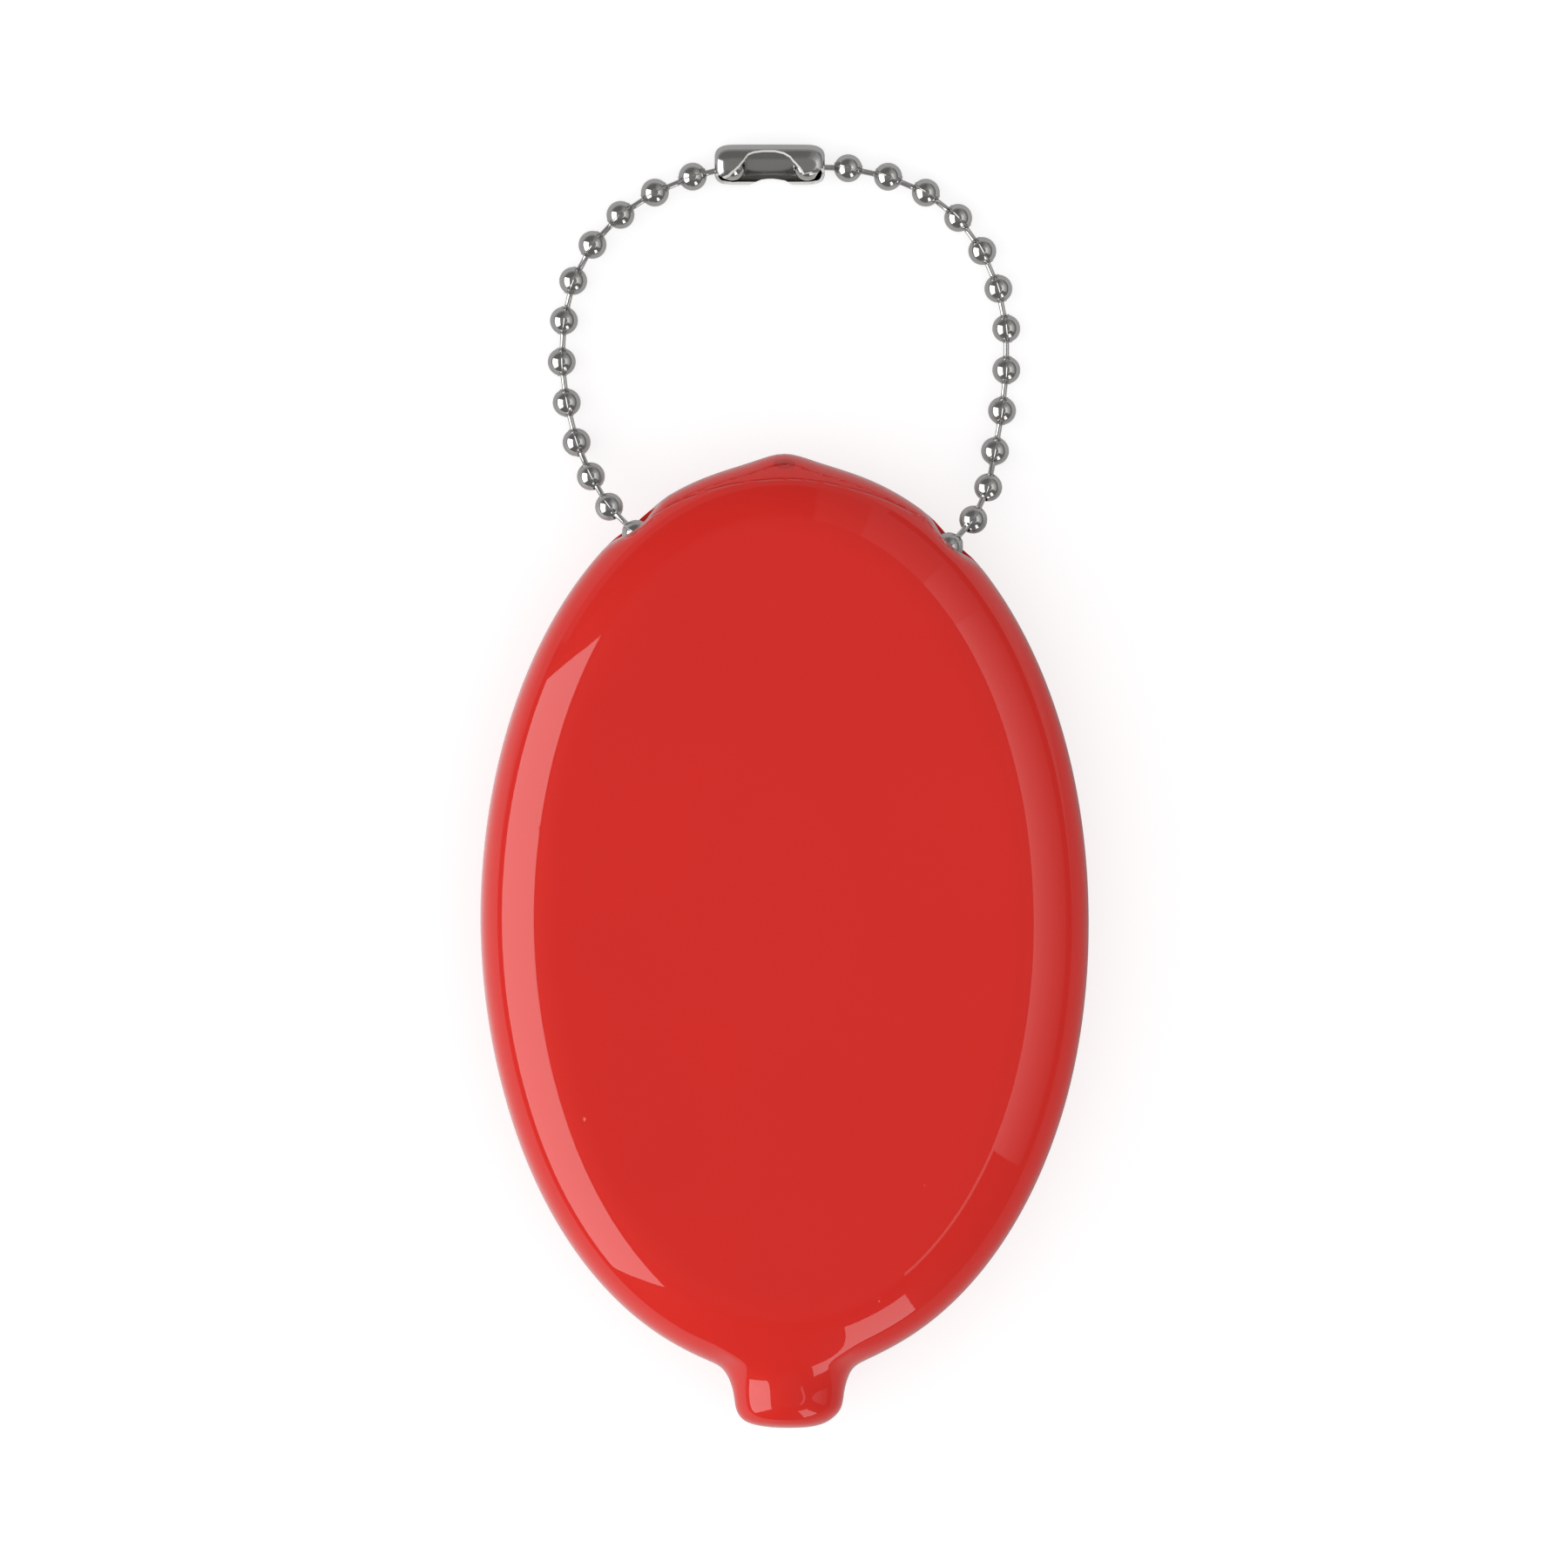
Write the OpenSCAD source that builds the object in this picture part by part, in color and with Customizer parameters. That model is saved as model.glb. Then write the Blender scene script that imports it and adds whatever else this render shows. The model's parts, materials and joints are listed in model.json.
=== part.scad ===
// Squeeze coin purse: a one-piece dip-moulded vinyl pouch, oval, with a lengthwise
// slit in its back, and a looped ball chain that enters and leaves through two cuts
// in its upper rim. The pouch lies on its back: X across, Y along its length towards
// the chain, Z up through its front. The origin is on the back, at the oval's centre.

/* [Pouch] */
// Width of the oval
pouch_w = 51.8; // [46:0.2:62]
// Length of the oval, without the tip and the neck
pouch_l = 78; // [68:0.5:94]
// Thickness from the flat back to the flat front
pouch_t = 13; // [11.5:0.5:16]
// Wall of the moulded vinyl
wall = 1.8; // [1.4:0.1:2.2]
// Depth by which the back is pressed flat where it rests
rest_flat = 0.04; // [0.02:0.01:0.1]

/* [Slit and lips] */
// Distance from each end of the oval to the slit's end
slit_inset = 11; // [9:0.5:16]
// Distance from the oval's side to the line where a lip bends
bend_inset = 7.9; // [7.5:0.1:11]
// Distance by which the oval that rounds the lips' ends is wider than their bend lines
lip_round = 6; // [4:0.5:12]
// Gap between the two lips along the slit
slit_gap = 0.4; // [0.3:0.05:0.6]
// Gap between a lip and the rest of the pouch
lip_gap = 0.2; // [0.15:0.05:0.3]

/* [Neck and tip] */
// Width of the neck
neck_w = 9.3; // [7:0.1:12]
// Thickness of the neck
neck_t = 7.6; // [6:0.2:9]
// Length of the neck beyond the oval
neck_l = 4.1; // [3:0.1:8]
// Radius of the neck's closed end
neck_end_r = 2.2; // [1:0.1:3]
// Spread of the flare between the oval and the neck, on each side
flare = 3.2; // [1:0.1:4]
// Length of the flare along the neck
flare_l = 4.8; // [3:0.2:6]
// Height of the drip tip above the oval
tip_h = 0.8; // [0.4:0.1:1.5]
// Width of the drip tip at its foot
tip_w = 9; // [6:0.5:12]
// Radius of the drip tip's point
tip_r = 2; // [1:0.1:2.5]
// Depth of the drip tip's foot below the oval's end
tip_foot = 3; // [2:0.1:4]
// Angle above the middle of the point's ball at which the tip's flanks meet it
tip_touch = 37; // [20:1:60]

/* [Chain cuts] */
// Place of the left cut round the oval, counted from +X
left_cut_angle = 120.5; // [112:0.5:125]
// Place of the right cut round the oval, counted from +X
right_cut_angle = 56; // [53:0.5:68]
// Length of each cut along the rim
cut_l = 5.5; // [4:0.1:6]
// Width of the knife cut
cut_w = 0.5; // [0.3:0.05:0.8]
// Depth of the bead in each cut, from the rim's surface to the bead's centre
bead_seat = 0.35; // [0.2:0.05:0.6]
// Clearance round the bead in each cut
cut_clearance = 0.15; // [0.1:0.05:0.3]

/* [Ball chain] */
// Diameter of a bead
bead_d = 2.4; // [2.1:0.1:2.6]
// Distance between two beads' centres
pitch = 3.5; // [3.3:0.05:3.8]
// Sheet thickness of a bead
bead_wall = 0.2; // [0.15:0.01:0.25]
// Diameter of a link wire
wire_d = 0.48; // [0.4:0.02:0.52]
// Clearance between a wire and its bead's hole, all round
hole_play = 0.12; // [0.1:0.01:0.14]
// Overlap of a wire's head behind its bead's hole, all round
head_lip = 0.04; // [0.03:0.01:0.06]
// Clearance between a wire's head and its bead's sheet
head_play = 0.15; // [0.1:0.01:0.18]
// Length of the hidden chain over the straight distance between the two cuts, at the least
hidden_slack = 1.02; // [1.01:0.01:1.1]
// Angle by which the hidden chain droops towards the back
droop = 25; // [0:5:40]

/* [Clasp] */
// Distance between the two beads that the clasp holds
clasp_span = 6.4; // [5.6:0.1:8]
// Sheet thickness of the clasp
clasp_wall = 0.25; // [0.2:0.05:0.35]
// Clearance round a bead in its pocket
pocket_clearance = 0.05; // [0.03:0.01:0.1]
// Room above the beads, towards the clasp's fold
clasp_rise = 0.4; // [0.1:0.05:0.6]
// Room below the beads, towards the clasp's long opening
clasp_drop = 0.2; // [0.1:0.05:0.6]
// Width of the clasp's long opening
mouth_w = 1.1; // [0.9:0.1:1.6]
// Length of the arched windows in the clasp's two cheeks
window_l = 3.4; // [2.4:0.1:4]

/* [Hidden] */
$fn = 64;
half_w = pouch_w / 2;
half_l = pouch_l / 2;
rim_r = pouch_t / 2;
mid_z = pouch_t / 2;
slit_half = half_l - slit_inset;
bend_x = half_w - bend_inset;
// The oval that rounds the lips' ends passes through the slit's ends
lip_end_w = bend_x + lip_round;
// The neck's hollow ends in half of the neck's own rounding
hollow_end_r = neck_end_r / 2;

bead_r = bead_d / 2;
hole_r = wire_d / 2 + hole_play;
head_r = hole_r + head_lip;
// Distance from a bead's centre to the head of its wire
head_depth = bead_r - bead_wall - head_r - head_play;
// A link turns about the middle of the hole in its bead's sheet
hole_depth = (sqrt(pow(bead_r, 2) - pow(hole_r, 2)) + sqrt(pow(bead_r - bead_wall, 2) - pow(hole_r, 2))) / 2;
pocket_r = bead_r + pocket_clearance;
clasp_r = pocket_r + clasp_wall;
// Reach of each cut from its bead's centre, into the pouch and out of it
cut_in = 2 * wall;
cut_out = bead_r + wall;

// Plan headings of the links from each cut to the clasp, counted from +X: the lie of the loop
left_headings = [136, 121, 113, 104, 97, 87, 77, 62, 47, 33, 23, 14];
right_headings = [49, 65, 79, 80, 84, 90, 101, 113, 126, 142, 157, 168, 178];
// Shares of the fall from the cuts to the surface that the first links take
fall_shares = [0.41, 0.32, 0.27];
falling = len(fall_shares);
left_links = len(left_headings);
right_links = len(right_headings);
// Rows that fold one after the other; the last holds the clasp and what is left of both sides
rows = left_links;

// Start of each side: the bead that sits in its cut
function seat_point(angle) = [(half_w - bead_seat) * cos(angle), (half_l - bead_seat) * sin(angle), mid_z];
function rim_normal(angle) = atan2(sin(angle) / half_l, cos(angle) / half_w);

// Fall of a link: down from the cut, flat on the surface, and up into the clasp
function link_fall(i, links) =
    i < falling ? fall_shares[i] * (mid_z - bead_r) : i == links - 1 ? bead_r - clasp_r : 0;
function link_step(heading, fall) =
    let (run = sqrt(pow(pitch, 2) - pow(fall, 2))) [run * cos(heading), run * sin(heading), -fall];
function side_points(start, headings, turn) = [
    for (i = 0, p = start; i <= len(headings);
        p = p + (i < len(headings) ? link_step(headings[i] + turn, link_fall(i, len(headings))) : [0, 0, 0]),
        i = i + 1) p
];

// Both sides turn by one small angle, so that the loop closes at the clasp's own length
function left_side(turn) = side_points(seat_point(left_cut_angle), left_headings, turn);
function right_side(turn) = side_points(seat_point(right_cut_angle), right_headings, -turn);
function clasp_miss(turn) =
    let (reach = right_side(turn)[right_links] - left_side(turn)[left_links])
    sign(reach.x) * norm(reach) - clasp_span;
function closing_turn(low, high, tries) =
    let (middle = (low + high) / 2)
    tries == 0 ? middle
        : clasp_miss(middle) > 0 ? closing_turn(low, middle, tries - 1)
        : closing_turn(middle, high, tries - 1);
loop_turn = closing_turn(-30, 30, 30);
left_beads = left_side(loop_turn);
right_beads = right_side(loop_turn);
clasp_way = right_beads[right_links] - left_beads[left_links];

// Hidden stretch: the fewest links that reach from cut to cut, bowed into an arc
inner_start = left_beads[0];
inner_end = right_beads[0];
inner_reach = norm(inner_end - inner_start);
inner_links = ceil(hidden_slack * inner_reach / pitch);
function reach_of(step) = pitch * sin(inner_links * step / 2) / sin(step / 2);
function bow_step(low, high, tries) =
    let (middle = (low + high) / 2)
    tries == 0 ? middle
        : reach_of(middle) > inner_reach ? bow_step(middle, high, tries - 1)
        : bow_step(low, middle, tries - 1);
inner_step = bow_step(0.01, 360 / inner_links, 40);
inner_along = (inner_end - inner_start) / inner_reach;
inner_aside = [inner_along.y * cos(droop), -inner_along.x * cos(droop), -sin(droop)];
inner_beads = [
    for (i = 0, p = inner_start, a = (inner_links - 1) / 2 * inner_step; i <= inner_links;
        p = p + pitch * (cos(a) * inner_along + sin(a) * inner_aside),
        a = a - inner_step,
        i = i + 1) p
];

// Bend line of each row: the two holes that its links turn in
function hole_point(from, to) = from + hole_depth * (to - from) / norm(to - from);
fold_lines = [
    for (k = [1:rows]) [
        hole_point(left_beads[k - 1], left_beads[k]),
        hole_point(right_beads[k - 1], right_beads[k])
    ]
];

function two_digits(i) = i < 10 ? str("0", i) : str(i);
function bead_name(side, i) = str(side, "_bead_", two_digits(i));
function wire_name(side, i) = str(side, "_link_wire_", two_digits(i));

vinyl = "#D22D2A";
nickel = "#B9BCC0";

// Oval pillow: flat front and back, and a half-round rim
module oval_pillow(width, length, thickness) {
    scale([1, length / width, 1])
        rotate_extrude($fn = 128) {
            square([width / 2 - thickness / 2, thickness]);
            intersection() {
                translate([width / 2 - thickness / 2, thickness / 2])
                    circle(d = thickness);
                square([width, thickness]);
            }
        }
}

// Closed neck at the lower end, its section wider than it is thick
module neck(width, thickness, length, end_r) {
    translate([0, -half_l + rim_r, mid_z])
        rotate([90, 0, 0])
            scale([1, thickness / width, 1])
                rotate_extrude() {
                    square([width / 2, rim_r + length - end_r]);
                    square([width / 2 - end_r, rim_r + length]);
                    translate([width / 2 - end_r, rim_r + length - end_r])
                        intersection() {
                            circle(end_r);
                            square(end_r);
                        }
                }
}

// Half the oval's thickness on its centre line, at a distance from its middle
function half_thickness(y) =
    let (inset = max(0, y * half_w / half_l - (half_w - rim_r)))
    sqrt(pow(rim_r, 2) - pow(inset, 2));

// Flare where the oval draws in to the neck
module neck_flare() {
    foot_w = neck_w / 2 + flare;
    translate([0, -half_l + flare, mid_z])
        rotate([90, 0, 0])
            scale([1, half_thickness(half_l - flare) / foot_w, 1])
                cylinder(r1 = foot_w, r2 = neck_w / 2, h = flare_l);
}

// Drip left at the upper end by the last of the liquid vinyl
module drip_tip() {
    foot = half_l - tip_foot;
    foot_r = min(tip_w / 2, half_thickness(foot));
    ball = half_l + tip_h - tip_r;
    translate([0, ball, mid_z])
        sphere(tip_r);
    translate([0, foot, mid_z])
        rotate([-90, 0, 0])
            cylinder(r1 = foot_r, r2 = tip_r * cos(tip_touch), h = ball + tip_r * sin(tip_touch) - foot);
}

// Knife cut through the rim, spread round the bead that sits in it and the next one inside
module chain_cut(angle, inner_bead) {
    translate(inner_bead)
        sphere(bead_r + cut_clearance);
    translate(seat_point(angle))
        rotate([0, 0, rim_normal(angle)])
            union() {
                rotate([0, 90, 0])
                    translate([0, 0, -cut_in])
                        cylinder(r = bead_r + cut_clearance, h = cut_in + cut_out);
                translate([-cut_in, -cut_l / 2, -cut_w / 2])
                    cube([cut_in + cut_out, cut_l, cut_w]);
            }
}

// The whole moulding, before the slit
module moulding() {
    difference() {
        union() {
            translate([0, 0, -rest_flat])
                oval_pillow(pouch_w, pouch_l, pouch_t + rest_flat);
            neck(neck_w, neck_t, neck_l, neck_end_r);
            neck_flare();
            drip_tip();
        }
        translate([-pouch_w, -pouch_l, -pouch_t])
            cube([2 * pouch_w, 2 * pouch_l, pouch_t]);
        translate([0, 0, wall])
            oval_pillow(pouch_w - 2 * wall, pouch_l - 2 * wall, pouch_t - 2 * wall);
        neck(neck_w - 2 * wall, neck_t - 2 * wall, neck_l - wall, hollow_end_r);
        chain_cut(left_cut_angle, inner_beads[1]);
        chain_cut(right_cut_angle, inner_beads[inner_links - 1]);
    }
}

// Plan of the back's opening between two lines along Y, with rounded ends, drawn in by a gap
module mouth_plan(low_x, high_x, gap) {
    intersection() {
        scale([1, (slit_half - gap) / (lip_end_w - gap)])
            circle(lip_end_w - gap, $fn = 128);
        translate([low_x, -half_l])
            square([high_x - low_x, pouch_l]);
    }
}

module pouch_shell() {
    color(vinyl)
        difference() {
            moulding();
            translate([0, 0, -wall])
                linear_extrude(mid_z + wall)
                    mouth_plan(-bend_x, bend_x, 0);
        }
}

module lip(side) {
    color(vinyl)
        intersection() {
            moulding();
            translate([0, 0, -wall])
                linear_extrude(mid_z + wall)
                    if (side == "right")
                        mouth_plan(slit_gap / 2, bend_x - lip_gap, lip_gap);
                    else
                        mouth_plan(lip_gap - bend_x, -slit_gap / 2, lip_gap);
        }
}

// Lays its child's +Z along the line from one point to another
module aim(from, to) {
    way = to - from;
    translate(from)
        rotate([0, acos(way.z / norm(way)), atan2(way.y, way.x)])
            children();
}

// Hollow bead, rolled from sheet, with a hole towards each neighbour and its seam between them
module bead(at, neighbours) {
    way = neighbours[len(neighbours) - 1] - at;
    difference() {
        translate(at)
            rotate([0, 0, atan2(way.y, way.x) + 90])
                difference() {
                    sphere(bead_r);
                    sphere(bead_r - bead_wall);
                }
        for (n = neighbours)
            aim(at, n)
                cylinder(r = hole_r, h = 2 * bead_r);
    }
}

// Link wire, with a head inside the bead at each end
module link_wire(from, to) {
    aim(from, to) {
        translate([0, 0, head_depth])
            cylinder(d = wire_d, h = norm(to - from) - 2 * head_depth);
        translate([0, 0, head_depth])
            sphere(head_r);
        translate([0, 0, norm(to - from) - head_depth])
            sphere(head_r);
    }
}

// Clasp: a folded sheet with a round pocket at each end, open along one side
module clasp_sheet() {
    difference() {
        clasp_body(clasp_r);
        clasp_body(pocket_r);
        translate([-2 * clasp_r, -clasp_drop - 2 * clasp_r, -mouth_w / 2])
            cube([clasp_span + 4 * clasp_r, clasp_drop + 2 * clasp_r, mouth_w]);
        translate([clasp_span / 2, -clasp_drop - clasp_r, 0])
            cylinder(d = window_l, h = 3 * clasp_r, center = true);
    }
}

// Outline of the sheet, or of its hollow: two round ends and the barrel between them
module clasp_body(r) {
    for (x = [0, clasp_span])
        translate([x, 0, 0])
            rotate([-90, 0, 0])
                rotate_extrude()
                    intersection() {
                        clasp_section(r);
                        translate([0, -clasp_drop - r])
                            square([r, clasp_rise + clasp_drop + 2 * r]);
                    }
    rotate([90, 0, 90])
        linear_extrude(clasp_span)
            rotate([0, 0, -90])
                clasp_section(r);
}

// Section of the clasp across its length, straight between two half rounds
module clasp_section(r) {
    translate([0, clasp_rise])
        circle(r);
    translate([0, -clasp_drop])
        circle(r);
    translate([-r, -clasp_drop])
        square([2 * r, clasp_rise + clasp_drop]);
}

// The clasp in its place, each pocket pierced where its bead's wire comes out
module chain_clasp() {
    color(nickel)
        difference() {
            translate(left_beads[left_links])
                rotate([0, 0, atan2(clasp_way.y, clasp_way.x)])
                    clasp_sheet();
            aim(left_beads[left_links], left_beads[left_links - 1])
                cylinder(r = hole_r, h = 2 * clasp_r);
            aim(right_beads[right_links], right_beads[right_links - 1])
                cylinder(r = hole_r, h = 2 * clasp_r);
        }
}

function side_beads(side) = side == "left" ? left_beads : right_beads;

// Neighbours of a bead on one side, the hidden chain's among them
function neighbours_of(side, i) =
    let (p = side_beads(side))
    concat(
        i > 0 ? [p[i - 1]] : side == "left" ? [inner_beads[1]] : [inner_beads[inner_links - 1]],
        i < len(p) - 1 ? [p[i + 1]] : []
    );

module side_bead(side, i) {
    color(nickel)
        bead(side_beads(side)[i], neighbours_of(side, i));
}

module side_wire(side, i) {
    color(nickel)
        link_wire(side_beads(side)[i - 1], side_beads(side)[i]);
}

module hidden_beads() {
    color(nickel)
        for (i = [1:inner_links - 1])
            bead(inner_beads[i], [inner_beads[i - 1], inner_beads[i + 1]]);
}

module hidden_link_wires() {
    color(nickel)
        for (i = [1:inner_links])
            link_wire(inner_beads[i - 1], inner_beads[i]);
}

pouch_shell();
lip("left");  // left_lip
lip("right");  // right_lip
chain_clasp();
hidden_beads();
hidden_link_wires();
for (side = ["left", "right"]) {
    for (i = [0:len(side_beads(side)) - 1])
        side_bead(side, i);
    for (i = [1:len(side_beads(side)) - 1])
        side_wire(side, i);
}
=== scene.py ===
import json
import math

import bmesh
import bpy
from mathutils import Matrix, Vector
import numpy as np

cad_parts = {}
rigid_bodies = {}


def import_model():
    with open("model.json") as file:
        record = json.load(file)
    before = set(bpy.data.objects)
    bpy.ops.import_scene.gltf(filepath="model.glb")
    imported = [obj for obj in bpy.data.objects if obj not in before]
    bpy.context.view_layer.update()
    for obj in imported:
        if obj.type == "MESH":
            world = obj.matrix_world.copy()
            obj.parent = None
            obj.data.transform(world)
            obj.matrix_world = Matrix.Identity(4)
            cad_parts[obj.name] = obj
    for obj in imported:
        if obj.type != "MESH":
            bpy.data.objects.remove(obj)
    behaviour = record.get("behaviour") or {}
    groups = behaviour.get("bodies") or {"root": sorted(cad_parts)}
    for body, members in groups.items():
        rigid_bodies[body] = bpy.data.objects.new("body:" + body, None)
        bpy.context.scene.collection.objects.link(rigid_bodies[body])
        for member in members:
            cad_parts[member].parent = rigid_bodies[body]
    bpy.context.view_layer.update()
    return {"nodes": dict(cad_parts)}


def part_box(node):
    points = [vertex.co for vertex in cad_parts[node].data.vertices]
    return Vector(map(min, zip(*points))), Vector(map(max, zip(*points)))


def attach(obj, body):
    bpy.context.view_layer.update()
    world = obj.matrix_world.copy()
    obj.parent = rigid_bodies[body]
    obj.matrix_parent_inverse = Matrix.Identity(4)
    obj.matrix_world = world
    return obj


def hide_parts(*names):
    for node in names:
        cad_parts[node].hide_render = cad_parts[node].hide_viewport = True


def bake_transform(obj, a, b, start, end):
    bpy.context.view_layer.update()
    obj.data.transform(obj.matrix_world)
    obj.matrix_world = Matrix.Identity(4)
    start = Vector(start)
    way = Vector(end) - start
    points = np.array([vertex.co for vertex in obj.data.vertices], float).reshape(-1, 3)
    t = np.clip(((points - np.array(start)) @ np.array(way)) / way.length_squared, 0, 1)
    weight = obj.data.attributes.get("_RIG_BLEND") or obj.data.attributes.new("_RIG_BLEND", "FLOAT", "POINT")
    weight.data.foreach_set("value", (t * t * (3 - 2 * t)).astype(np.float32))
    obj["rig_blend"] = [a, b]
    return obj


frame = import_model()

# sizes are written in millimetres, and this turns them to Blender's metres
MM = 0.001

# Pouch: one hollow moulding of plasticised vinyl, made by dipping a warm oval former in
# liquid vinyl. Its back lies flat, its front is barely crowned and its rim is round. The
# back's middle is left open here for the two lips.
HALF_W, HALF_L = 25.9, 39.0
OPENING_W, OPENING_L = 18.0, 28.0
# the rim's rounding: how far it reaches in, and its height in front and behind
EDGE_IN, FRONT_RISE, BACK_RISE = 7.0, 5.3, 5.45
# the level of the cuts, the straight part of the side above it, and the front's crown
MID_Z, SIDE_RISE, CROWN = 6.5, 1.05, 0.15
RING_POINTS, RING_TURN = 64, 15
# one more ring of the flat back, between the opening and the rounding
BACK_SHARE = 0.4
CROWN_SHARES = (0.8, 0.55, 0.35)
# against a true oval: fuller on the diagonals, and the lower half shorter and set over
FULLNESS = 0.006
LOWER_SHARE, LOWER_SHIFT, SHIFT_OVER = 0.991, 0.13, 15


def pick(ob, mode, test):
    """In edit mode, selects the vertices, edges or faces that pass test(middle in mm, part)."""
    bpy.ops.mesh.select_mode(type=mode)
    bpy.ops.mesh.select_all(action="DESELECT")
    cage = bmesh.from_edit_mesh(ob.data)
    for part in {"VERT": cage.verts, "EDGE": cage.edges, "FACE": cage.faces}[mode]:
        points = [part.co] if mode == "VERT" else [v.co for v in part.verts]
        part.select = test(sum(points, Vector()) / len(points) / MM, part)
    cage.select_flush_mode()
    bmesh.update_edit_mesh(ob.data)


def next_ring(ring, half_x, half_y, height):
    """Extrudes the selected ring, in millimetres, to an oval of these half sizes at a height."""
    bpy.ops.mesh.extrude_region_move()
    bpy.ops.transform.resize(value=(half_x / ring[0], half_y / ring[1], 1), center_override=(0, 0, 0))
    bpy.ops.transform.translate(value=(0, 0, (height - ring[2]) * MM))
    return half_x, half_y, height


def apply_modifier(ob, kind, **settings):
    """Adds one modifier with its settings and applies it."""
    modifier = ob.modifiers.new(kind.title(), kind)
    for key, value in settings.items():
        setattr(modifier, key, value)
    bpy.context.view_layer.objects.active = ob
    bpy.ops.object.modifier_apply(modifier=modifier.name)


bpy.ops.object.select_all(action="DESELECT")
bpy.ops.mesh.primitive_circle_add(vertices=RING_POINTS, radius=MM)
moulding = bpy.context.object
moulding.name = moulding.data.name = "pouch_moulding"
bpy.ops.object.mode_set(mode="EDIT")
cage = bmesh.from_edit_mesh(moulding.data)
for v in cage.verts:
    v.co *= 1 + FULLNESS * math.sin(2 * math.atan2(v.co.y, v.co.x)) ** 2
bmesh.update_edit_mesh(moulding.data)
bpy.ops.transform.resize(value=(OPENING_W, OPENING_L, 1), center_override=(0, 0, 0))

flat_w, flat_l = HALF_W - EDGE_IN, HALF_L - EDGE_IN
ring = next_ring((OPENING_W, OPENING_L, 0), OPENING_W + BACK_SHARE * (flat_w - OPENING_W),
                 OPENING_L + BACK_SHARE * (flat_l - OPENING_L), 0)
ring = next_ring(ring, flat_w, flat_l, 0)
for angle in range(90 - RING_TURN, -1, -RING_TURN):
    inset = EDGE_IN * (1 - math.cos(math.radians(angle)))
    height = BACK_RISE * (1 - math.sin(math.radians(angle)))
    ring = next_ring(ring, HALF_W - inset, HALF_L - inset, height)
ring = next_ring(ring, HALF_W, HALF_L, MID_Z)
for angle in range(0, 91, RING_TURN):
    inset = EDGE_IN * (1 - math.cos(math.radians(angle)))
    height = MID_Z + SIDE_RISE + FRONT_RISE * math.sin(math.radians(angle))
    ring = next_ring(ring, HALF_W - inset, HALF_L - inset, height)
for share in CROWN_SHARES:
    height = MID_Z + SIDE_RISE + FRONT_RISE + CROWN * (1 - share ** 2)
    ring = next_ring(ring, flat_w * share, flat_l * share, height)
bpy.ops.mesh.fill_grid(span=RING_POINTS // 4)

cage = bmesh.from_edit_mesh(moulding.data)
for v in cage.verts:
    if v.co.y < 0:
        v.co.y *= LOWER_SHARE
        v.co.x += LOWER_SHIFT * MM * min(1, -v.co.y / (SHIFT_OVER * MM))
bmesh.update_edit_mesh(moulding.data)

# Neck: where the former was held. The rim's lower end opens into a short tube of the same
# vinyl, with a rounded closed end. Each ring has its place along Y, its middle in X, its
# half width and its half height.
NECK_RINGS = (
    (-39.1, 0.33, 5.0, 3.95), (-40.2, 0.37, 4.72, 3.74), (-41.3, 0.37, 4.62, 3.64),
    (-42.0, 0.27, 4.28, 3.3), (-42.6, 0.16, 3.65, 2.8), (-42.95, 0.25, 2.75, 2.1),
    (-43.12, 0.36, 1.5, 1.2))
# the hole in the rim that the tube joins, which has as many points round its edge
HOLE_HALF_W, HOLE_LOW, HOLE_HIGH = 7, 2, 11
NECK_POINTS = 28
pick(moulding, "FACE", lambda m, face: m.y < 0 and abs(m.x) < HOLE_HALF_W and HOLE_LOW < m.z < HOLE_HIGH)
bpy.ops.mesh.delete(type="FACE")
# an open ring is only drawn out in edge mode
bpy.ops.mesh.select_mode(type="EDGE")
bpy.ops.mesh.primitive_circle_add(vertices=NECK_POINTS, radius=MM, rotation=(math.radians(90), 0, 0))
bpy.ops.transform.translate(value=(0, 0, MID_Z * MM))
last_y, last_x, last_w, last_h = 0, 0, 1, 1
for y, x, half_w, half_h in NECK_RINGS:
    if last_y:
        bpy.ops.mesh.extrude_region_move()
    bpy.ops.transform.translate(value=((x - last_x) * MM, (y - last_y) * MM, 0))
    bpy.ops.transform.resize(value=(half_w / last_w, 1, half_h / last_h),
                             center_override=(x * MM, y * MM, MID_Z * MM))
    last_y, last_x, last_w, last_h = y, x, half_w, half_h
bpy.ops.mesh.fill_grid(span=NECK_POINTS // 4)
pick(moulding, "EDGE", lambda m, edge: m.y < -34 and edge.is_boundary)
bpy.ops.mesh.bridge_edge_loops(number_cuts=2, interpolation="SURFACE", smoothness=1.0)

# Drip tip: the last drip of the dipping, which set on the rim's upper end. A point of the
# rim is drawn out, with soft flanks: columns by their place and rise, rows by their
# heights and share of that rise.
TIP_COLUMNS = ((0, 1.0), (2.5, 0.2))
TIP_ROWS = ((5, 8, 1), (8.5, 9.3, 0.6), (3.5, 4.5, 0.6))
for column_x, rise in TIP_COLUMNS:
    for low_z, high_z, share in TIP_ROWS:
        pick(moulding, "VERT", lambda m, vert: (
            m.y > 36 and abs(abs(m.x) - column_x) < 0.6 and low_z < m.z < high_z))
        bpy.ops.transform.translate(value=(0, share * rise * MM, 0))
bpy.ops.mesh.select_all(action="SELECT")
bpy.ops.mesh.normals_make_consistent(inside=False)
bpy.ops.object.mode_set(mode="OBJECT")
apply_modifier(moulding, "SUBSURF", levels=2, render_levels=2)

# Cuts: two knife cuts along the rim, one on each side of the tip, let the chain through.
# The bead that sits in each one spreads it, and presses its front edge in.
CUTS = ((114.5, 125.6), (50.2, 62.1))
CUT_SPREAD, SPREAD_REACH = 1.15, 2.9
FRONT_SINK, BACK_SINK, SINK_REACH = 0.75, 0.25, 3.6


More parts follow.
